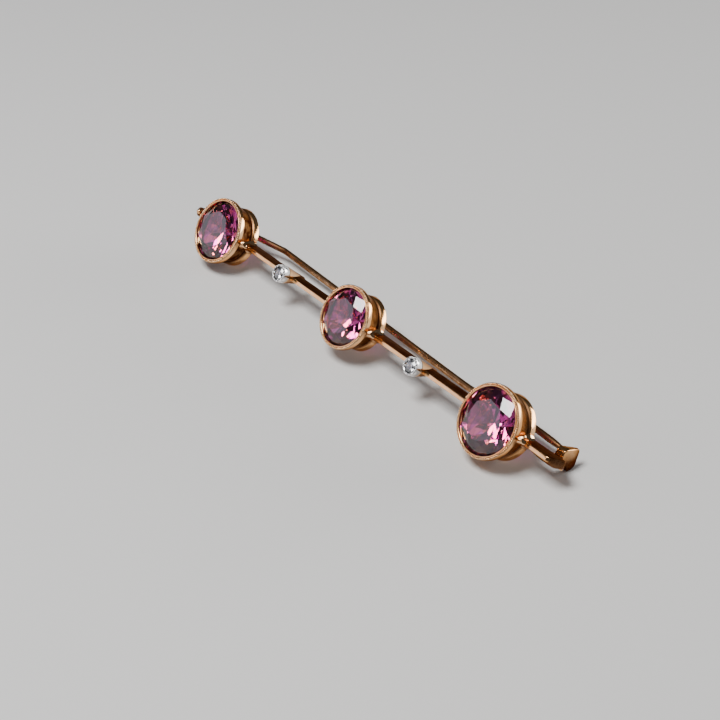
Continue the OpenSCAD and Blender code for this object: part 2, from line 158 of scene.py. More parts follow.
class Form:
    """The places that follow from the sizes, in the brooch's own frame:
    x along the bar, y across it, z out of the stones."""

    def __init__(self, s):
        self.s = s
        self.edge = 0.08 * MM
        self.play = 0.03 * MM
        self.girdle_up = s.rim_up - 0.31 * MM
        self.pivot_x = -(s.stone_pitch + s.left_reach)
        self.end_x = s.stone_pitch + s.right_reach
        self.end_back_x = self.end_x + s.end_slant
        self.boss_up = -0.04 * MM
        low = (-s.gallery_d / 2, self.edge - s.gallery_down)
        self.lean = math.atan2(-s.lip_down - low[0], low[1] + s.lip_near)
        self.lift = -low[1] * math.sin(self.lean) - low[0] * math.cos(self.lean)
        c, n = math.cos(self.lean), math.sin(self.lean)
        self.hood_x = self.end_x - s.catch_inset
        self.hood_left = self.hood_x - s.hood_l
        self.hood_back = s.hood_near + s.hood_depth
        self.x_mid = (self.pivot_x - s.boss_d / 2 + self.end_back_x) / 2
        y_low = -s.rim_up * c - (self.collet_r(s.stone_d) - self.edge) * n
        y_high = max(y * n - z * c for y, z in self.hood(0.0))
        self.y_mid = (y_low + y_high) / 2
        self.pose = (Matrix.Translation((-self.x_mid, -self.y_mid, self.lift))
                     @ Matrix.Rotation(math.pi / 2 - self.lean, 4, "X"))

    def hood(self, t):
        """The hood's outline (y, z) from its front wall over the roof to
        its floor, with rounded corners, moved inwards by t."""
        s = self.s
        c, n = math.cos(self.lean), math.sin(self.lean)
        corners = [Vector((0, y, z)) for y, z in (
            (0.0, -s.hood_near), (s.hood_up, -s.hood_near),
            (s.hood_up + s.roof_rise, -self.hood_back),
            (s.lip_l * n - s.lip_down, -s.lip_near - s.lip_l * c),
            (-s.lip_down, -s.lip_near))]
        path = [(0.0, -s.hood_near - t)]
        for k, r in enumerate((0.45, 0.30, 0.60), 1):
            for place, way in corner_sections(*corners[k - 1:k + 2], r * MM, 5):
                side = way.cross(Vector((1, 0, 0)))
                path.append((place.y + t * side.y, place.z + t * side.z))
        path.append((-s.lip_down + t * c, -s.lip_near + t * n))
        return path

    def collet_r(self, d):
        """Outer radius of the collet around a stone of diameter d."""
        return d / 2 + self.s.bezel_wall

    def bar_seat(self, g):
        """Where the bar ends, inside a gallery ring of diameter g."""
        return g / 2 - 0.38 * MM

    def large(self):
        """Each large collet: name, x, y, stone and gallery diameter."""
        s = self.s
        return (("left", -s.stone_pitch, 0.0, s.stone_d, s.gallery_d),
                ("middle", s.middle_shift, s.middle_rise, s.middle_stone_d, s.middle_gallery_d),
                ("right", s.stone_pitch, 0.0, s.stone_d, s.gallery_d))

    def small(self):
        """Each small collet: name and x."""
        return (("left", -self.s.diamond_left_x), ("right", self.s.diamond_right_x))


# Shader helpers

class Value:
    """A shader socket that Python's arithmetic works on."""

    def __init__(self, finish, socket):
        self.finish = finish
        self.socket = socket

    def _math(self, operation, first, second=None):
        return self.finish.node("ShaderNodeMath", {"operation": operation},
                                {0: first} if second is None else {0: first, 1: second})

    def __add__(self, other):
        return self._math("ADD", self, other)

    __radd__ = __add__

    def __sub__(self, other):
        return self._math("SUBTRACT", self, other)

    def __rsub__(self, other):
        return self._math("SUBTRACT", other, self)

    def __mul__(self, other):
        return self._math("MULTIPLY", self, other)

    __rmul__ = __mul__

    def __abs__(self):
        return self._math("ABSOLUTE", self)

    def root(self):
        return self._math("SQRT", self)

    def clamped(self):
        return self._math("MINIMUM", self._math("MAXIMUM", self, 0.0), 1.0)


class Finish:
    """A material and the nodes that are added to it."""

    def __init__(self, name):
        self.material = bpy.data.materials.new(name)
        self.material.use_nodes = True
        self.tree = self.material.node_tree
        self.tree.nodes.clear()
        self.shader = self.tree.nodes.new("ShaderNodeBsdfPrincipled")
        output = self.tree.nodes.new("ShaderNodeOutputMaterial")
        self.tree.links.new(self.shader.outputs[0], output.inputs["Surface"])

    def put(self, socket, value):
        """Links a value to a socket, or sets the socket's constant."""
        if isinstance(value, Value):
            self.tree.links.new(value.socket, socket)
        elif hasattr(socket.default_value, "__len__") and len(value) == 3 \
                and len(socket.default_value) == 4:
            socket.default_value = (*value, 1.0)
        else:
            socket.default_value = value

    def node(self, kind, settings=None, inputs=None, output=0):
        """Adds a node: its settings first, then its sockets' values or
        links."""
        made = self.tree.nodes.new(kind)
        for key, value in (settings or {}).items():
            setattr(made, key, value)
        for key, value in (inputs or {}).items():
            self.put(made.inputs[key], value)
        return Value(self, made.outputs[output])

    def base(self, **values):
        """Sets the main shader's sockets, named with underscores."""
        for key, value in values.items():
            self.put(self.shader.inputs[key.replace("_", " ").title()
                                        .replace("Ior", "IOR")], value)

    def place(self):
        return self.node("ShaderNodeTexCoord", output="Object")

    def noise(self, where, scale, detail, rough):
        return self.node("ShaderNodeTexNoise", {"noise_dimensions": "3D"},
                         {"Vector": where, "Scale": scale, "Detail": detail,
                          "Roughness": rough})

    def band(self, value, low, high):
        """0 below low, 1 above high, smooth between."""
        return self.node("ShaderNodeMapRange", {"interpolation_type": "SMOOTHSTEP"},
                         {"Value": value, "From Min": low, "From Max": high})

    def mix(self, share, first, second):
        return self.node("ShaderNodeMix", {"data_type": "RGBA"},
                         {0: share, 6: first, 7: second}, output=2)

    def bump(self, height, distance):
        return self.node("ShaderNodeBump", None, {"Height": height, "Distance": distance,
                                                  "Strength": 1.0})

    def own_frame(self, form, x=0.0, y=0.0):
        """Position in the brooch's own frame, in millimetres from x, y."""
        turned = self.node("ShaderNodeMapping", {"vector_type": "TEXTURE"},
                           {"Vector": self.place(),
                            "Location": form.pose.translation,
                            "Rotation": (math.pi / 2 - form.lean, 0.0, 0.0),
                            "Scale": (MM, MM, MM)})
        return self.node("ShaderNodeVectorMath", {"operation": "SUBTRACT"},
                         {0: turned, 1: (x / MM, y / MM, 0.0)})

    def split(self, vector):
        """The three numbers of a vector or colour."""
        apart = self.node("ShaderNodeSeparateXYZ", None, {0: vector})
        return [Value(self, socket) for socket in apart.socket.node.outputs]


def polished_gold(name, form, colours, scratch=1.0, painted_shade=None, bright=0.0):
    """Old polished gold: rubbed light and matt patches at random, fine scratches,
    painted shade (darker metal) where the shade mask is high, and a lighter gold all over as
    painted highlight where bright is set."""
    f = Finish(name)
    where = f.own_frame(form)
    clouds = f.noise(where, 0.55, 4.0, 0.6)
    grain = f.noise(where, 9.0, 3.0, 0.6)
    along = f.node("ShaderNodeMapping", {"vector_type": "POINT"},
                   {"Vector": where, "Rotation": (0.0, 0.35, 0.2), "Scale": (2.0, 26.0, 26.0)})
    hairs = f.noise(along, 1.6, 5.0, 0.7)
    rubbed = f.band(clouds, 0.42, 0.68)
    # Lighter gold in random rubbed patches, and all over by the bright share, which is painted
    # highlight
    colour = f.mix((rubbed * 0.55 + bright).clamped(), tuple(colours.gold),
                   tuple(colours.gold_worn_and_highlight))
    dull_and_shade = f.band(grain, 0.50, 0.75) * 0.16
    # The mask adds painted shade: darker gold where shade would fall
    if painted_shade is not None:
        dull_and_shade = (dull_and_shade + painted_shade(f, form)).clamped()
    colour = f.mix(dull_and_shade, colour, tuple(colours.gold_dark))
    f.base(base_color=colour, metallic=1.0, specular_tint=(0.50, 0.35, 0.30),
           roughness=(0.09 + rubbed * 0.04 + dull_and_shade * 0.32 + f.band(hairs, 0.45, 0.8) * 0.06),
           normal=f.bump(hairs * 0.6 + grain * 0.4, 0.004 * MM * scratch))
    return f.material


def collet_painted_shade(x, y, r, q, dark):
    """Painted shade between the beads, down a collet's tapered wall, unevenly there,
    inside its gallery ring and in the groove over its gallery. r and q are the radii of the collet
    and its gallery, and dark is how much painted shade lies on the wall."""
    def mask(f, form):
        s = form.s
        across, up, out = f.split(f.own_frame(form, x, y))
        radius = (across * across + up * up).root()
        patchy = f.noise(f.own_frame(form), 1.3, 4.0, 0.6)
        top = (s.gallery_h - s.gallery_down) / MM
        low = (s.rim_up - s.band_h) / MM
        bore, row, rim = (q - s.gallery_w) / MM, r / MM - 0.115, s.rim_up / MM
        # Painted shade in the groove, on the wall, inside the gallery ring and between the beads
        groove = 1.0 - f.band(abs(out - (top + 0.12)), 0.06, 0.36)
        wall = f.band(out, top, top + 0.3) * (1.0 - f.band(out, low - 0.12, low + 0.02))
        inner = 1.0 - f.band(radius, bore - 0.1, bore + 0.15)
        gaps = f.band(out, rim - 0.24, rim - 0.14) * (1.0 - f.band(abs(radius - row), 0.05, 0.15))
        return (groove * 0.85 + gaps * 0.9 + inner * 0.5
                + wall * (dark * 0.7 + f.band(patchy, 0.36, 0.62) * dark * 0.5)).clamped()
    return mask


# How much painted shade lies on the tapered wall of each large collet
WALL_PAINTED_SHADE = {"left": 0.85, "middle": 0.7, "right": 0.4}


def flank_painted_shade(f, form):
    """Painted shade, dark gold, on the bar's flanks, right from its bright front edge, a little
    uneven.
    """
    out = f.split(f.own_frame(form))[2]
    patchy = f.noise(f.own_frame(form), 0.9, 4.0, 0.6)
    return (1.0 - f.band(out, -0.22, -0.02)) * (0.88 + f.band(patchy, 0.4, 0.7) * 0.08)


def hood_painted_shade(f, form):
    """Painted shade, dark gold, towards the hood's lower back and on its foot."""
    s = form.s
    up, out = f.split(f.own_frame(form))[1:]
    patchy = f.noise(f.own_frame(form), 1.2, 4.0, 0.6)
    down = (s.hood_up / MM - up) * 0.30 - (out + s.hood_near / MM) * 0.22
    return f.band(down + patchy * 0.4, 0.10, 0.85) * 0.95


def wire_painted_shade(f, form):
    """Uneven painted shade, dark gold in place of the wire's dark reflections, on the pin's wire,
    none on its head in front.
    """
    out = f.split(f.own_frame(form))[2]
    patchy = f.noise(f.own_frame(form), 0.8, 4.0, 0.6)
    return (1.0 - f.band(patchy, 0.45, 0.65) * 0.7) * (1.0 - f.band(out, -1.9, -0.9)) * 0.72


def boss_painted_shade(f, form):
    """Painted shade, dark gold in place of dark reflections, all round the bar's round end, a
    little rubbed.
    """
    patchy = f.noise(f.own_frame(form), 0.8, 4.0, 0.6)
    return 0.95 - f.band(patchy, 0.5, 0.7) * 0.3


def white_metal(name, form, colours):
    """White metal collet: greyish, finely scratched."""
    f = Finish(name)
    where = f.own_frame(form)
    clouds = f.noise(where, 2.2, 4.0, 0.6)
    grain = f.noise(where, 16.0, 3.0, 0.6)
    f.base(base_color=f.mix(f.band(clouds, 0.35, 0.7) * 0.5, tuple(colours.white),
                            (0.52, 0.50, 0.49)),
           metallic=1.0, roughness=0.14 + f.band(grain, 0.4, 0.8) * 0.16,
           normal=f.bump(grain, 0.003 * MM))
    return f.material


def pink_stone(name, form, colours, x, y):
    """Transparent pink stone: soft zones of deeper colour, a mosaic of cells painted deeper, pale
    pink or orange red as painted dark reflections, flashes and glints, and the finest rub."""
    f = Finish(name)
    where = f.own_frame(form, x, y)
    zones = f.noise(where, 0.45, 2.0, 0.4)
    rub = f.noise(where, 5.0, 4.0, 0.6)
    stretched = f.node("ShaderNodeMapping", {"vector_type": "POINT"},
                       {"Vector": where, "Rotation": (0.3, 0.2, 0.9), "Scale": (1.5, 0.75, 0.6)})
    # Stretched cells over the stone, painted as facet reflections
    flash = f.node("ShaderNodeTexVoronoi", {"feature": "F1", "voronoi_dimensions": "3D"},
                   {"Vector": stretched, "Scale": 1.0, "Randomness": 1.0}, output=1)
    red, green, blue = f.split(flash)
    # Deeper pink in soft zones, and in cells as painted dark reflections
    body = f.mix((f.band(zones, 0.35, 0.7) * 0.4 + red * 0.7).clamped(),
                 tuple(colours.stone), tuple(colours.stone_deep))
    # Pale pink cells: painted flashes
    body = f.mix(f.band(green, 0.80, 0.82) * 0.7, body, (0.74, 0.22, 0.56))
    # Orange red cells: painted glints
    body = f.mix(f.band(blue, 0.86, 0.88) * 0.8, body, (0.85, 0.16, 0.12))
    f.base(base_color=body, roughness=f.band(rub, 0.62, 0.85) * 0.05,
           ior=1.74, transmission_weight=1.0, normal=f.bump(rub, 0.0006 * MM))
    return f.material


def colourless_stone(name, form, x):
    """Diamond, very faintly grey."""
    f = Finish(name)
    rub = f.noise(f.own_frame(form, x), 12.0, 3.0, 0.6)
    f.base(base_color=f.mix(f.band(rub, 0.4, 0.7), (0.97, 0.97, 0.98), (0.90, 0.90, 0.92)),
           roughness=f.band(rub, 0.6, 0.9) * 0.04, ior=2.2, transmission_weight=1.0,
           normal=f.bump(rub, 0.0004 * MM))
    return f.material


def studio_floor(name, colours):
    """Pale matt floor with a faint even grain."""
    f = Finish(name)
    where = f.place()
    grain = f.noise(where, 900.0, 3.0, 0.6)
    clouds = f.noise(where, 6.0, 2.0, 0.5)
    shade = tuple(c * 0.965 for c in colours.floor)
    f.base(base_color=f.mix((clouds * 0.5 + grain * 0.5), tuple(colours.floor), shade),
           roughness=0.55 + grain * 0.1, normal=f.bump(grain, 0.00002))
    return f.material


# Modelling helpers

def soften(bm, width, angle=25.0, segments=3):
    """Rounds every edge that is sharper than angle."""
    limit = math.radians(angle)
    sharp = [e for e in bm.edges if e.is_manifold and e.calc_face_angle(0.0) > limit]
    bmesh.ops.bevel(bm, geom=sharp, offset=width, offset_type="OFFSET", segments=segments,
                    profile=0.5, affect="EDGES", clamp_overlap=True, material=-1)


def closed(bm):
    """Merges doubles and turns every face outwards."""
    bmesh.ops.remove_doubles(bm, verts=bm.verts, dist=0.0005 * MM)
    bmesh.ops.recalc_face_normals(bm, faces=bm.faces)


def turned(profile, steps, x=0.0, y=0.0):
    """A solid turned about the stones' axis at x, y from an outline of
    (radius, height) rows; an outline that starts and ends on the axis
    gives a closed knob."""
    bm = bmesh.new()
    verts = [bm.verts.new((r, 0.0, h)) for r, h in profile]
    ring = list(zip(verts, verts[1:]))
    if profile[0][0] > 0.0 or profile[-1][0] > 0.0:
        ring.append((verts[-1], verts[0]))
    edges = [bm.edges.new(pair) for pair in ring]
    bmesh.ops.spin(bm, geom=verts + edges, cent=(0, 0, 0), axis=(0, 0, 1),
                   dvec=(0, 0, 0), angle=math.tau, steps=steps, use_merge=True)
    closed(bm)
    bmesh.ops.translate(bm, verts=bm.verts, vec=(x, y, 0))
    return bm


def pulled(outline, vector):
    """A prism: a flat outline of corners pulled along a vector."""
    bm = bmesh.new()
    face = bm.faces.new([bm.verts.new(c) for c in outline])
    result = bmesh.ops.extrude_face_region(bm, geom=[face], use_keep_orig=True)
    moved = [v for v in result["geom"] if isinstance(v, bmesh.types.BMVert)]
    bmesh.ops.translate(bm, verts=moved, vec=vector)
    closed(bm)
    return bm


def lofted(rings):
    """A closed solid drawn through rings of as many corners each."""
    bm = bmesh.new()
    rows = [[bm.verts.new(corner) for corner in ring] for ring in rings]
    loops = [[bm.edges.new(pair) for pair in zip(row, row[1:] + row[:1])] for row in rows]
    for first, second in zip(loops, loops[1:]):
        bmesh.ops.bridge_loops(bm, edges=first + second)
    bm.faces.new(rows[0])
    bm.faces.new(rows[-1])
    closed(bm)
    return bm


def add(target, source):
    """Adds one bmesh's geometry to another and frees it."""
    mesh = bpy.data.meshes.new("part")
    source.to_mesh(mesh)
    source.free()
    target.from_mesh(mesh)
    bpy.data.meshes.remove(mesh)


def piece(bm, name, body, material, form, sharp=38.0, replaces=()):
    """Places a finished mesh in the row frame as an object on a body."""
    bmesh.ops.transform(bm, matrix=form.pose, verts=bm.verts)
    mesh = bpy.data.meshes.new(name)
    bm.to_mesh(mesh)
    bm.free()
    for polygon in mesh.polygons:
        polygon.use_smooth = True
    mesh.set_sharp_from_angle(angle=math.radians(sharp))
    mesh.materials.append(material)
    made = bpy.data.objects.new(name, mesh)
    bpy.context.scene.collection.objects.link(made)
    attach(made, body)
    if replaces:
        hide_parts(*replaces)
    return made


def repaint(node, material):
    """Gives a CAD node's object another material."""
    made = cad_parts[node]
    made.data.materials.clear()
    made.data.materials.append(material)


def settings(context):
    """The form and the colours that the panel's values give."""
    scene = context.scene
    return Form(scene.brooch_sizes), scene.brooch_colours


# Operators: one for each group of like pieces

class BROOCH_OT_collets(Operator):
    """Turn the three large gold collets with their gallery rings"""
    bl_idname = "brooch.collets"
    bl_label = "Collets"

    def execute(self, context):
        form, colours = settings(context)
        s, m, edge = form.s, MM, form.edge
        low, top, down = s.rim_up - s.band_h, s.gallery_h - s.gallery_down, -s.gallery_down
        seat, grip = form.girdle_up - s.girdle_t - s.stone_gap, form.girdle_up + 0.04 * m
        slope = s.pavilion_h / (s.stone_d / 2)
        for name, x, y, d, g in form.large():
            r, inner, q = form.collet_r(d), d / 2 + s.stone_gap, g / 2
            bore = q - s.gallery_w
            band = [(r - 0.03 * m, s.rim_up - 0.12 * m), (r, s.rim_up - 0.16 * m), (r, low)]
            taper = [(r - 0.10 * m, low - 0.07 * m), (q - 0.24 * m, top + 0.20 * m)]
            gallery = [(q - 0.30 * m, top + 0.08 * m), (q - 0.18 * m, top),
                       (q - 0.07 * m, top - 0.10 * m), (q, down + edge), (q - edge, down),
                       (bore + edge, down), (bore, down + edge), (bore - 0.03 * m, top + 0.10 * m)]
            inside = [(inner - 0.42 * m, 0.60 * m), (inner - 0.30 * m, seat - 0.30 * m * slope),
                      (inner, seat), (inner, grip)]
            lip = [(inner - 0.08 * m, grip + 0.07 * m), (inner - 0.08 * m, s.rim_up - 0.07 * m),
                   (inner - 0.02 * m, s.rim_up), (inner + 0.06 * m, s.rim_up),
                   (inner + 0.10 * m, s.rim_up - 0.10 * m)]
            bm = turned(band + taper + gallery + inside + lip, s.round_steps, x, y)
            soften(bm, 0.030 * m, 18.0, 3)
            gold = polished_gold("gold_collet_" + name, form, colours,
                                 painted_shade=collet_painted_shade(x, y, r, q, WALL_PAINTED_SHADE[name]))
            piece(bm, "collet_" + name, "brooch", gold, form, replaces=("gold_frame",))
        return {"FINISHED"}


def beads(count, ring_r, bead_r, height, x, y=0.0):
    """A ring of small domed beads about the stones' axis at x, y."""
    bm = bmesh.new()
    seed = bmesh.ops.create_uvsphere(bm, u_segments=8, v_segments=6, radius=bead_r)
    bmesh.ops.translate(bm, verts=seed["verts"], vec=(ring_r, 0, height))
    first = list(bm.verts) + list(bm.edges) + list(bm.faces)
    for k in range(1, count):
        made = bmesh.ops.duplicate(bm, geom=first)
        verts = [v for v in made["geom"] if isinstance(v, bmesh.types.BMVert)]
        bmesh.ops.rotate(bm, verts=verts, cent=(0, 0, 0),
                         matrix=Matrix.Rotation(math.tau * k / count, 3, "Z"))
    bmesh.ops.translate(bm, verts=bm.verts, vec=(x, y, 0))
    return bm


class BROOCH_OT_milgrain(Operator):
    """Set a row of fine beads along each large rim"""
    bl_idname = "brooch.milgrain"
    bl_label = "Milgrain"

    def execute(self, context):
        form, colours = settings(context)
        s = form.s
        # The beads are a lighter gold: painted highlight
        gold = polished_gold("gold_milgrain", form, colours, 0.5, bright=0.7)
        for name, x, y, d, _ in form.large():
            ring_r = form.collet_r(d) - 0.115 * MM
            count = round(math.tau * ring_r / (s.bead_d * 1.03))
            bm = beads(count, ring_r, s.bead_d / 2, s.rim_up - 0.09 * MM, x, y)
            piece(bm, "milgrain_" + name, "brooch", gold, form, 60.0)
        return {"FINISHED"}


def bar_section(s):
    """The knife-edge bar's section, corners as (y, z)."""
    f, b, d = s.bar_front / 2, s.bar_back / 2, s.bar_depth
    c = 0.1 * MM
    return [(-f, 0.0), (f, 0.0), (b, c - d), (b - c, -d), (c - b, -d), (-b, c - d)]


class BROOCH_OT_bar(Operator):
    """Make the knife-edge bar, its leaf-shaped end, boss and solder"""
    bl_idname = "brooch.bar"
    bl_label = "Bar"

    def execute(self, context):
        form, colours = settings(context)
        gold = polished_gold("gold_bar", form, colours, painted_shade=flank_painted_shade)
        dark = polished_gold("gold_boss", form, colours, painted_shade=boss_painted_shade)
        # The solder is a lighter gold: painted highlight
        bright = polished_gold("gold_solder", form, colours, bright=0.5)
        piece(self.spans(form), "bar", "brooch", gold, form, replaces=("gold_frame",))
        piece(self.leaf_end(form), "bar_end", "brooch", gold, form)
        piece(self.boss(form), "pivot_boss", "brooch", dark, form)
        solder = bmesh.new()
        for _, x, _, d, g in form.large():
            for side in (-1, 1):
                add(solder, self.solder(form, x, d, g, side))
        piece(solder, "solder_joints", "brooch", bright, form, 60.0)
        return {"FINISHED"}

    def spans(self, form):
        """The straight bar: from the boss into the left collet, and from
        each large collet into the next."""
        s, m = form.s, MM
        seat, mid = form.bar_seat(s.gallery_d), form.bar_seat(s.middle_gallery_d)
        bm = bmesh.new()
        for a, b in ((form.pivot_x + s.boss_d / 2 - 0.15 * m, -s.stone_pitch - seat),
                     (seat - s.stone_pitch, s.middle_shift - mid),
                     (s.middle_shift + mid, s.stone_pitch - seat)):
            part = pulled([(a, y, z) for y, z in bar_section(s)], (b - a, 0, 0))
            soften(part, 0.035 * m, 20.0, 3)
            add(bm, part)
        return bm

    def boss(self, form):
        """The bar's round end, bored for the pin's post."""
        s, m = form.s, MM
        bore, r, back = s.post_d / 2 + form.play, s.boss_d / 2, -s.bar_depth
        profile = [(bore, form.boss_up), (r - 0.04 * m, form.boss_up),
                   (r, form.boss_up - 0.04 * m), (r, back + 0.05 * m), (r - 0.05 * m, back),
                   (bore, back)]
        return turned(profile, 64, form.pivot_x, s.pivot_up)

    def leaf_end(self, form):
        """The bar's right end, drawn through sections that swell on the
        lower side into the leaf and lean over to the slanted end."""
        s, m = form.s, MM
        f, b, d, c = s.bar_front / 2, s.bar_back / 2, s.bar_depth, 0.1 * m
        bulge, slim = s.leaf_w - b, (b - f) / (d - c)
        start = s.stone_pitch + form.bar_seat(s.gallery_d)
        straight, steepest = 0.34, 0.92

        def lower_side(z, swell, reach):
            return (slim * z - f) * (1 - swell) - reach * bulge * swell

        rings = []
        # Rows: share of the way to the end, swell of the leaf, size
        for share, swell, size in ((0.0, 0.0, 1.0), (0.34, 0.0, 1.0), (0.44, 0.18, 1.0),
                                   (0.54, 0.55, 1.0), (0.64, 0.86, 1.0), (0.74, 1.0, 1.0),
                                   (0.90, 1.0, 1.0), (0.96, 0.98, 0.98), (1.0, 0.93, 0.94),
                                   (1.03, 0.85, 0.85), (1.045, 0.78, 0.72)):
            lean = min(max(0.0, (share - straight) / (1 - straight)), steepest)
            corners = ((-f, 0.0), (f, 0.0), (f + slim * 0.3 * d, -0.3 * d), (b, c - d),
                       (b - c, -d), (c - b, -d), (lower_side(-0.55 * d, swell, 1.0), -0.55 * d),
                       (lower_side(-0.2 * d, swell, 0.75), -0.2 * d))
            ring = []
            for y, z in corners:
                z = (z + 0.5 * d) * size - 0.5 * d
                x = start + share * (form.end_x - start) - z / d * s.end_slant * lean
                ring.append((x, y * size, z))
            rings.append(ring)
        bm = lofted(rings)
        soften(bm, 0.05 * m, 24.0, 3)
        return bm

    def solder(self, form, x, d, g, side):
        """Solder that flares from the bar's end round the gallery and up
        a collet's wall, in level sections from back to front."""
        s, m = form.s, MM
        r, q, b = form.collet_r(d) / m, g / 2 / m, form.bar_seat(g) / m
        depth, f, k = s.bar_depth / m, s.bar_front / 2 / m, s.bar_back / 2 / m
        foot, foot_up, rise = q - 0.24, -0.9, 1.7
        rings = []
        # Rows: height, reach past the collet, half width at the collet
        for z, tip, wide in ((0.03 - depth, 0.35, 0.78), (-1.10, 0.38, 0.84),
                             (-0.75, 0.40, 0.62), (-0.35, 0.42, 0.52), (0.01, 0.44, 0.48),
                             (0.08, 0.24, 0.46), (0.25, 0.07, 0.42), (0.50, 0.00, 0.36),
                             (0.78, -0.05, 0.28)):
            wall = q - 0.02
            if z > foot_up:
                wall = foot + (z - foot_up) / rise * (r - 0.1 - foot)
            half = min(f - 0.01 + (k - f) * max(0.0, -z) / depth, 0.7 * wide)
            out, flare = max(r + tip, wall + 0.06), wide - half
            places = [(b, wide), (wall + 0.01, wide),
                      (wall + 0.25 * (out - wall), half + 0.35 * flare),
                      (wall + 0.6 * (out - wall), half + 0.08 * flare), (out, half)]
            corners = places + [(px, -y) for px, y in reversed(places)]
            rings.append([(side * px * m, y * m, z * m) for px, y in corners])
        bm = lofted(rings)
        bmesh.ops.subdivide_edges(bm, edges=bm.edges[:], cuts=2, use_grid_fill=True)
        for _ in range(5):
            bmesh.ops.smooth_vert(bm, verts=bm.verts, factor=0.5,
                                  use_axis_x=True, use_axis_y=True, use_axis_z=True)
        bmesh.ops.translate(bm, verts=bm.verts, vec=(x, 0, 0))
        return bm


class BROOCH_OT_catch(Operator):
    """Raise the hood over the pin's point, with its foot on the bar"""
    bl_idname = "brooch.catch"
    bl_label = "Catch"

    def execute(self, context):
        form, colours = settings(context)
        gold = polished_gold("gold_catch", form, colours, painted_shade=hood_painted_shade)
        bm = self.hood(form)
        soften(bm, 0.08 * MM, 40.0, 4)
        add(bm, self.foot(form))
        piece(bm, "catch", "brooch", gold, form)
        return {"FINISHED"}

    def foot(self, form):
        """The prism that carries the hood on the bar's back."""
        s, m = form.s, MM
        left, right = form.hood_left + 0.1 * m, form.end_back_x
        sunk, near, top = 0.15 * m - s.bar_depth, -s.hood_near - s.strip_t / 2, -0.52 * m
        outline = ((left, sunk), (right - 0.2 * m, sunk),
                   (right - 0.12 * m, -0.02 * m - s.bar_depth), (form.hood_x - 0.30 * m, near),
                   (left, near))
        bm = pulled([(x, top, z) for x, z in outline], (0, 0.82 * m, 0))
        soften(bm, 0.05 * m, 20.0, 3)
        return bm

    def hood(self, form):
        """Walls along the outline and a domed face that closes the right
        side; the left side runs to the right on its way back."""
        s, m = form.s, MM
        outer, inner = form.hood(0.0), form.hood(s.strip_t)
        heart = ((s.hood_up - s.lip_down) / 2 + 0.1 * m, -(s.hood_near + form.hood_back) / 2)
        near, far = -s.hood_near - s.strip_t - 0.2 * m, 0.1 * m - form.hood_back
        right = form.hood_x - 0.65 * m

        def left_side(z):
            share = min(max((near - z) / (near - far), 0.0), 1.0)
            return form.hood_left + share * (right - form.hood_left)

        def dome(y, z):
            flat = (y - heart[0]) ** 2 + (z - heart[1]) ** 2
            return form.hood_x - s.dome_r + math.sqrt(s.dome_r ** 2 - flat)

        bm = bmesh.new()

        def row(places, x_at):
            return [bm.verts.new((x_at(y, z), y, z)) for y, z in places]

        def strip(a, b, first=0):
            for k in range(first, len(outer) - 1):
                bm.faces.new((a[k], a[k + 1], b[k + 1], b[k]))

        rim = row(outer, lambda y, z: left_side(z))
        lip = row(inner, lambda y, z: left_side(z))
        deep = row(inner, lambda y, z: form.hood_x - 0.48 * m)
        rings = []
        for share in (1.0, 0.8, 0.6, 0.4, 0.2):
            rings.append(row([(heart[0] + (y - heart[0]) * share,
                               heart[1] + (z - heart[1]) * share) for y, z in outer], dome))
        face, last = rings[0], rings[-1]
        strip(rim, lip)
        strip(lip, deep)
        strip(face, rim)
        for k in (0, -1):
            bm.faces.new((rim[k], lip[k], deep[k], face[k]))
        bm.faces.new((deep[0], deep[-1], face[-1], face[0]))
        bm.faces.new(deep)
        for a, b in zip(rings, rings[1:]):
            strip(a, b, -1)
        top = bm.verts.new((form.hood_x, *heart))
        for k in range(-1, len(outer) - 1):
            bm.faces.new((last[k], last[k + 1], top))
        closed(bm)
        return bm


class BROOCH_OT_brilliants(Operator):
    """Turn the white collets and gold cones of the two small brilliants"""
    bl_idname = "brooch.brilliants"
    bl_label = "Small brilliants"

    def execute(self, context):
        form, colours = settings(context)
        s, m = form.s, MM
        white = white_metal("white_collets", form, colours)
        # The cones are a lighter gold: painted highlight
        gold = polished_gold("gold_cones", form, colours, bright=0.7)
        wall, back = s.diamond_d / 2 + s.cup_wall, s.cup_up - s.cup_h
        ring_r = wall - 0.085 * m
        count = round(math.tau * ring_r / (s.small_bead_d * 1.04))
        for name, x in form.small():
            piece(self.cup(form, x, wall, back), "white_collet_" + name, "brooch",
                  white, form, replaces=("diamond_collet_" + name,))
            bm = beads(count, ring_r, s.small_bead_d / 2, s.cup_up - 0.08 * m, x)
            piece(bm, "white_milgrain_" + name, "brooch", white, form, 60.0)
            piece(self.cone(form, x, wall, back - s.stone_gap), "cone_" + name, "brooch",
                  gold, form)
        return {"FINISHED"}

    def cup(self, form, x, wall, back):
        """A white collet: a wall with a lip over the stone's girdle, open
        below."""
        s, m = form.s, MM
        inner, hole = s.diamond_d / 2 + s.stone_gap, 0.28 * m
        rim, girdle = s.cup_up, s.cup_up - 0.16 * m
        outside = [(hole, back), (wall - 0.03 * m, back), (wall, back + 0.05 * m),
                   (wall, rim - 0.12 * m), (wall - 0.02 * m, rim - 0.10 * m)]
        lip = [(inner + 0.02 * m, rim - 0.08 * m), (inner - 0.01 * m, rim - 0.02 * m),
               (inner - 0.05 * m, rim - 0.04 * m), (inner - 0.05 * m, girdle + 0.07 * m)]
        inside = [(inner, girdle + 0.03 * m), (inner, girdle - 0.08 * m), (hole, back + 0.12 * m)]
        return turned(outside + lip + inside, 72, x)

    def cone(self, form, x, wall, top):
        """A solid gold cone behind a white collet."""
        s, m = form.s, MM
        r, down, edge = s.cone_back_d / 2, -s.cone_down, form.edge
        return turned([(0.0, down), (r - edge, down), (r, down + edge),
                       (wall - 0.03 * m, top - 0.05 * m), (wall - 0.06 * m, top), (0.0, top)],
                      72, x)


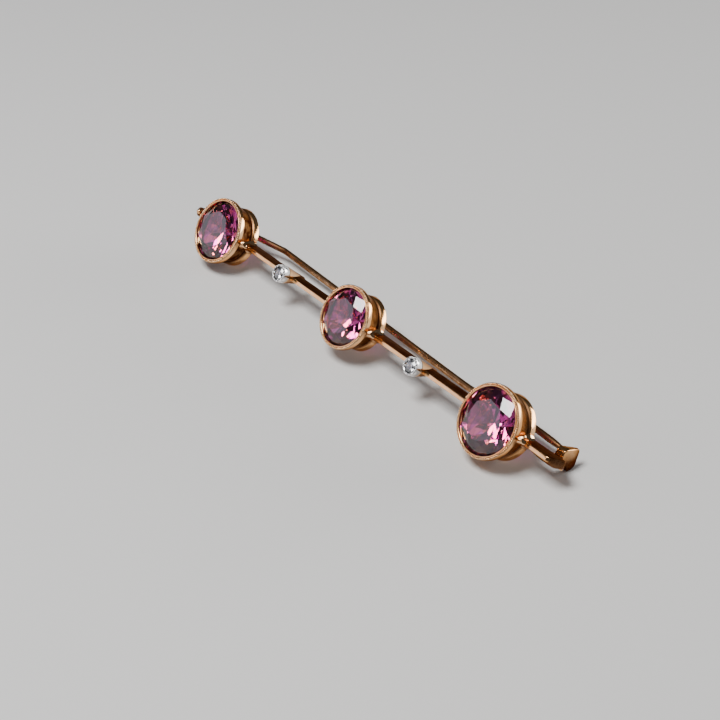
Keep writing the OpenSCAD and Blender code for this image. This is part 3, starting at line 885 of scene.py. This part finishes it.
class BROOCH_OT_stones(Operator):
    """Give the cut stones their colour and polish"""
    bl_idname = "brooch.stones"
    bl_label = "Stones"

    def execute(self, context):
        form, colours = settings(context)
        for name, x, y, _, _ in form.large():
            repaint("stone_" + name, pink_stone("pink_stone_" + name, form, colours, x, y))
        for name, x in form.small():
            repaint("diamond_" + name, colourless_stone("diamond_" + name, form, x))
        return {"FINISHED"}


class BROOCH_OT_pin(Operator):
    """Draw the pin's wire from its post to its point"""
    bl_idname = "brooch.pin"
    bl_label = "Pin"

    def execute(self, context):
        form, colours = settings(context)
        # The wire's mask paints shade in place of dark reflections; the pin is also a little
        # lighter gold all over
        gold = polished_gold("gold_pin", form, colours, 0.6, wire_painted_shade, 0.2)
        shoulder_up, shoulder_h = -form.s.bar_depth - form.play, 0.22 * MM
        bm = self.post(form, shoulder_up, shoulder_up - shoulder_h)
        add(bm, self.wire(self.sections(form, shoulder_up - shoulder_h / 2,
                                        shoulder_up - shoulder_h)))
        piece(bm, "pin_wire", "swinging_pin", gold, form, replaces=("pin",))
        return {"FINISHED"}

    def post(self, form, top, back):
        """The shoulder behind the boss, the post and its domed head."""
        s, m = form.s, MM
        shoulder, post, head = s.shoulder_d / 2, s.post_d / 2, s.head_d / 2
        head_up = form.boss_up + form.play
        dome = [(head * math.cos(t), head_up + 0.02 * m + head * math.sin(t))
                for t in (math.radians(9 * k) for k in range(10))]
        profile = [(0.0, back), (shoulder - 0.05 * m, back), (shoulder, back + 0.05 * m),
                   (shoulder, top - 0.04 * m), (shoulder - 0.04 * m, top), (post, top),
                   (post, head_up), (head, head_up), *dome, (0.0, head_up + 0.02 * m + head)]
        return turned(profile, 64, form.pivot_x, s.pivot_up)

    def sections(self, form, start, back):
        """The wire's sections from the shoulder round the heel, along the
        bowed stem and down to the tip: place, way and radius of each."""
        s, m = form.s, MM
        w, heel, tip = s.stem_d / 2, 0.5 * m, form.hood_x - 0.60 * m
        down = s.lip_near - s.strip_t * math.sin(form.lean) - w - 0.1 * m
        up = (s.hood_up + s.roof_rise * (down - s.hood_near) / s.hood_depth
              - s.strip_t - w - 0.04 * m)
        corners = [Vector((form.pivot_x, s.pivot_up, start)),
                   Vector((form.pivot_x, s.pivot_up, back - 0.8 * heel))]
        # Rows: share of the way to the tip, shares of the two bows
        for share, rise, bow in ((0.176, 1.00, 1.00), (0.745, 0.21, 0.78), (0.912, 0.76, 0.30)):
            corners.append(Vector((form.pivot_x + share * (tip - form.pivot_x),
                                   rise * s.bow_up, -down - bow * s.bow_back)))
        corners.append(Vector((tip, up, -down)))
        rows = [(corners[0], Vector((0, 0, -1)), w)]
        for k, (r, steps) in enumerate(((heel, 10), (3 * m, 6), (30 * m, 3), (20 * m, 3)), 1):
            rows += [(p, d, w) for p, d in corner_sections(*corners[k - 1:k + 2], r, steps)]
        way = (corners[-1] - corners[-2]).normalized()
        for share, slim in ((1.0, 1.0), (0.75, 0.93), (0.5, 0.76), (0.25, 0.52)):
            rows.append((corners[-1] - way * s.point_l * share, way, w * slim))
        for share, slim in ((1 / 2, 1 / 2), (1 / 8, 1 / 3), (0.0, 1 / 10)):
            rows.append((corners[-1] - way * s.point_d * share, way, s.point_d * slim))
        return rows

    def wire(self, rows):
        """A round wire drawn through rows of place, way and radius."""
        def section(place, way, radius):
            side = way.cross(Vector((0, 1, 0))).normalized()
            up = side.cross(way)
            turn = Matrix((side, up, way)).transposed().to_4x4()
            return Matrix.Translation(place) @ turn @ Matrix.Scale(radius, 4)
        bm = bmesh.new()
        ring = bmesh.ops.create_circle(bm, cap_ends=True, radius=1.0, segments=32)["verts"]
        now = section(*rows[0])
        bmesh.ops.transform(bm, matrix=now, verts=ring)
        edges = [e for e in bm.edges]
        for row in rows[1:]:
            made = bmesh.ops.extrude_edge_only(bm, edges=edges)["geom"]
            ring = [v for v in made if isinstance(v, bmesh.types.BMVert)]
            edges = [e for e in made if isinstance(e, bmesh.types.BMEdge)
                     and all(v in ring for v in e.verts)]
            following = section(*row)
            bmesh.ops.transform(bm, matrix=following @ now.inverted(), verts=ring)
            now = following
        bmesh.ops.holes_fill(bm, edges=edges, sides=0)
        closed(bm)
        return bm


class BROOCH_OT_studio(Operator):
    """Lay the pale floor, set the soft lights and place the camera"""
    bl_idname = "brooch.studio"
    bl_label = "Studio"

    def execute(self, context):
        form, colours = settings(context)
        self.floor(colours)
        world = bpy.data.worlds.new("studio")
        world.use_nodes = True
        background = world.node_tree.nodes["Background"]
        background.inputs["Color"].default_value = (0.85, 0.88, 0.93, 1.0)
        background.inputs["Strength"].default_value = 0.08
        context.scene.world = world
        self.softbox("key_light", (-0.007, -0.12, 0.31), (0.13, 0.13), 1.25)
        self.softbox("left_front_light", (-0.21, -0.22, 0.09), (0.36, 0.16), 0.30,
                     (0.88, 0.86, 1.0))
        self.softbox("back_light", (0.13, 0.27, 0.045), (0.26, 0.08), 0.70)
        self.camera(context, form)
        return {"FINISHED"}

    def floor(self, colours):
        bm = bmesh.new()
        bmesh.ops.create_grid(bm, x_segments=4, y_segments=4, size=1.2)
        mesh = bpy.data.meshes.new("floor")
        bm.to_mesh(mesh)
        bm.free()
        mesh.materials.append(studio_floor("floor", colours))
        made = bpy.data.objects.new("floor", mesh)
        bpy.context.scene.collection.objects.link(made)

    def softbox(self, name, place, size, power, colour=(1.0, 1.0, 1.0)):
        light = bpy.data.lights.new(name, "AREA")
        light.shape = "RECTANGLE"
        light.size, light.size_y = size
        light.energy = power
        light.color = colour
        made = bpy.data.objects.new(name, light)
        made.location = place
        made.rotation_euler = (-Vector(place)).to_track_quat("-Z", "Y").to_euler()
        bpy.context.scene.collection.objects.link(made)

    def camera(self, context, form):
        """A long lens at the photograph's angle: 54 degrees to the right
        of the front and 34 degrees above the floor."""
        turn, rise, roll = math.radians(53.816), math.radians(34.373), math.radians(-1.679)
        distance = 179.957 * MM
        target = Vector((2.021 * MM - form.x_mid, -0.340 * MM - form.y_mid, 0.0))
        back = Vector((math.sin(turn) * math.cos(rise), -math.cos(turn) * math.cos(rise),
                       math.sin(rise)))
        lens = bpy.data.cameras.new("camera")
        lens.sensor_width = 36.0
        lens.lens = 87.25
        lens.clip_start = 0.01
        made = bpy.data.objects.new("camera", lens)
        right = (-back).cross(Vector((0, 0, 1))).normalized()
        up = right.cross(-back)
        side = right * math.cos(roll) + up * math.sin(roll)
        top = up * math.cos(roll) - right * math.sin(roll)
        turned_to = Matrix((side, top, back)).transposed().to_4x4()
        made.matrix_world = Matrix.Translation(target + back * distance) @ turned_to
        context.scene.collection.objects.link(made)
        context.scene.camera = made


class BROOCH_PT_panel(Panel):
    """The brooch's steps and sizes"""
    bl_idname = "BROOCH_PT_panel"
    bl_label = "Bar brooch"
    bl_space_type = "VIEW_3D"
    bl_region_type = "UI"
    bl_category = "Brooch"

    def draw(self, context):
        column = self.layout.column(align=True)
        for step in STEPS:
            column.operator(step.bl_idname)
        for group in (context.scene.brooch_sizes, context.scene.brooch_colours):
            box = self.layout.box()
            for key in group.__annotations__:
                box.prop(group, key)


STEPS = (BROOCH_OT_studio, BROOCH_OT_collets, BROOCH_OT_milgrain, BROOCH_OT_bar,
         BROOCH_OT_catch, BROOCH_OT_brilliants, BROOCH_OT_stones, BROOCH_OT_pin)
CLASSES = (BroochSizes, BroochColours, *STEPS, BROOCH_PT_panel)


def register():
    for cls in CLASSES:
        bpy.utils.register_class(cls)
    bpy.types.Scene.brooch_sizes = PointerProperty(type=BroochSizes)
    bpy.types.Scene.brooch_colours = PointerProperty(type=BroochColours)


def unregister():
    del bpy.types.Scene.brooch_sizes
    del bpy.types.Scene.brooch_colours
    for cls in reversed(CLASSES):
        bpy.utils.unregister_class(cls)


def main():
    register()
    bpy.ops.brooch.studio()
    bpy.ops.brooch.collets()
    bpy.ops.brooch.milgrain()
    bpy.ops.brooch.bar()
    bpy.ops.brooch.catch()
    bpy.ops.brooch.brilliants()
    bpy.ops.brooch.stones()
    bpy.ops.brooch.pin()


if __name__ == "__main__":
    main()
